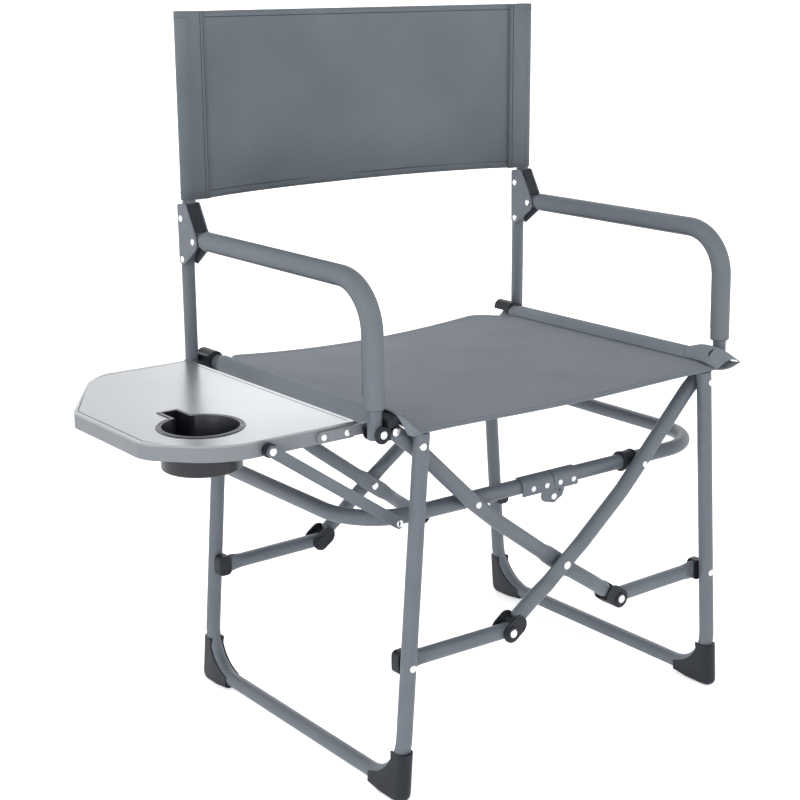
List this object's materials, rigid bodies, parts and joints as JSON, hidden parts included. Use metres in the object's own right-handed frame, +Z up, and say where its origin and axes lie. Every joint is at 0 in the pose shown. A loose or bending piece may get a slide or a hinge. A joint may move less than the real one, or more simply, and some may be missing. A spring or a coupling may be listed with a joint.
{
  "type": "folding director chair",
  "caption": "Folding director chair for camping: scissor tube frame, fabric sling seat and back, foam arm grips and a folding side table with a moulded cup holder.",
  "frame": {"origin": "on the floor, at the bottom centre of the whole object's bounding box, side table included", "axes": "+Z up, the chair faces -Y, and the side table is on -X; the middle plane of the seat is at x = 0.1139 m"},
  "size_m": [0.8122, 0.4542, 0.891],
  "materials": {
    "frame": "satin powder coat, mid grey",
    "plastic": "moulded, nearly black",
    "steel": "bright, domed",
    "fabric": "woven polyester, slate grey",
    "sleeve": "foam grip with a smooth woven cover",
    "top": "satin light grey"
  },
  "bodies": {
    "pivots": {"centre_rivet_front": "steel", "centre_rivet_rear": "steel"},
    "bars_left": {"bar_front_left": "frame", "bar_rear_left": "frame", "connector_front_left": "plastic", "connector_rear_left": "plastic"},
    "bars_right": {"bar_front_right": "frame", "bar_rear_right": "frame", "connector_front_right": "plastic", "connector_rear_right": "plastic"},
    "leg_left": {"leg_frame_left": "frame", "boot_front_left": "plastic", "boot_rear_left": "plastic"},
    "leg_right": {"leg_frame_right": "frame", "boot_front_right": "plastic", "boot_rear_right": "plastic"},
    "link_left": {"link_front_left": "frame", "link_rear_left": "frame", "link_cap_front_left": "plastic", "link_cap_rear_left": "plastic"},
    "link_right": {"link_front_right": "frame", "link_rear_right": "frame", "link_cap_front_right": "plastic", "link_cap_rear_right": "plastic"},
    "hoop_pin": {"hoop_pin_front": "steel", "hoop_pin_rear": "steel"},
    "hoop_left": {"hoop_left": "frame", "hinge_front_left": "frame", "hinge_rear_left": "frame"},
    "hoop_right": {"hoop_right": "frame", "hinge_front_right": "frame", "hinge_rear_right": "frame", "saddle_front": "plastic", "saddle_rear": "plastic"},
    "arm_left": {"seat_rail_left": "frame", "arm_frame_left": "frame", "arm_sleeve_left": "sleeve", "clevis_front_left": "plastic", "clevis_rear_left": "plastic", "bracket_outer_left": "frame", "bracket_inner_left": "frame", "bracket_block_left": "plastic", "seat_fabric": "fabric"},
    "arm_right": {"seat_rail_right": "frame", "arm_frame_right": "frame", "arm_sleeve_right": "sleeve", "clevis_front_right": "plastic", "clevis_rear_right": "plastic", "bracket_outer_right": "frame", "bracket_inner_right": "frame", "bracket_block_right": "plastic"},
    "back_left": {"back_post_left": "frame", "back_fabric": "fabric"},
    "back_right": {"back_post_right": "frame"},
    "table": {"table_rim": "frame", "table_top": "top", "cup_holder": "plastic"},
    "support": {"table_support_front": "frame", "table_support_rear": "frame"}
  },
  "joints": [
    {"name": "fold", "type": "hinge", "parent": "pivots", "child": "bars_left", "pos_m": [0.11391, 0, 0.23], "axis": [0, 1, 0], "range_deg": [0, 35], "deforming": ["seat_fabric", "back_fabric"]},
    {"name": "bars_right_turn", "type": "hinge", "parent": "pivots", "child": "bars_right", "pos_m": [0.11391, 0, 0.23], "axis": [0, 1, 0], "range_deg": [-35.5, 0]},
    {"name": "leg_left_pivot", "type": "hinge", "parent": "bars_left", "child": "leg_left", "pos_m": [-0.11809, 0, 0.427], "axis": [0, 1, 0], "range_deg": [-31.6, 0]},
    {"name": "arm_left_pivot", "type": "hinge", "parent": "bars_left", "child": "arm_left", "pos_m": [-0.14109, 0, 0.444], "axis": [0, 1, 0], "range_deg": [-35.5, 0]},
    {"name": "link_left_pivot", "type": "hinge", "parent": "bars_right", "child": "link_left", "pos_m": [0.02361, 0, 0.165], "axis": [0, 1, 0], "range_deg": [0, 97.45]},
    {"name": "leg_right_pivot", "type": "hinge", "parent": "bars_right", "child": "leg_right", "pos_m": [0.34591, 0, 0.427], "axis": [0, 1, 0], "range_deg": [0, 31.6]},
    {"name": "arm_right_pivot", "type": "hinge", "parent": "bars_right", "child": "arm_right", "pos_m": [0.36891, 0, 0.444], "axis": [0, 1, 0], "range_deg": [0, 35.5]},
    {"name": "link_right_pivot", "type": "hinge", "parent": "bars_left", "child": "link_right", "pos_m": [0.20421, 0, 0.165], "axis": [0, 1, 0], "range_deg": [-97.45, 0]},
    {"name": "hoop_rise", "type": "slide", "parent": "pivots", "child": "hoop_pin", "axis": [0, 0, 1], "range_m": [0, 0.20604]},
    {"name": "hoop_left_hinge", "type": "hinge", "parent": "hoop_pin", "child": "hoop_left", "pos_m": [0.11391, 0, 0.312], "axis": [0, 1, 0], "range_deg": [-77.46, 0]},
    {"name": "hoop_right_hinge", "type": "hinge", "parent": "hoop_pin", "child": "hoop_right", "pos_m": [0.11391, 0, 0.312], "axis": [0, 1, 0], "range_deg": [0, 77.46]},
    {"name": "table_hinge", "type": "hinge", "parent": "arm_left", "child": "table", "pos_m": [-0.16359, 0, 0.447], "axis": [0, 1, 0], "range_deg": [-51.28, 0]},
    {"name": "support_pivot", "type": "hinge", "parent": "table", "child": "support", "pos_m": [-0.29169, 0, 0.445], "axis": [0, 1, 0], "range_deg": [0, 71.1]},
    {"name": "back_fold", "type": "hinge", "parent": "arm_left", "child": "back_left", "pos_m": [-0.16359, 0.198, 0.638], "axis": [-1, 0, 0], "range_deg": [0, 150]},
    {"name": "back_right_turn", "type": "hinge", "parent": "arm_right", "child": "back_right", "pos_m": [0.39141, 0.198, 0.638], "axis": [-1, 0, 0], "range_deg": [0, 150]}
  ],
  "couplings": [
    {"joint": "bars_right_turn", "follows": "fold", "ratio": -1},
    {"joint": "leg_left_pivot", "follows": "fold", "ratio": -0.88851},
    {"joint": "arm_left_pivot", "follows": "fold", "ratio": -1},
    {"joint": "link_left_pivot", "follows": "fold", "ratio": 2.77},
    {"joint": "leg_right_pivot", "follows": "fold", "ratio": 0.88851},
    {"joint": "arm_right_pivot", "follows": "fold", "ratio": 1},
    {"joint": "link_right_pivot", "follows": "fold", "ratio": -2.77},
    {"joint": "hoop_rise", "follows": "fold", "m_per_rad": 0.33565},
    {"joint": "hoop_left_hinge", "follows": "fold", "ratio": -2.1989},
    {"joint": "hoop_right_hinge", "follows": "fold", "ratio": 2.1989},
    {"joint": "table_hinge", "follows": "fold", "ratio": -1.4509},
    {"joint": "support_pivot", "follows": "fold", "ratio": 2.0172},
    {"joint": "back_right_turn", "follows": "back_fold", "ratio": 1}
  ]
}
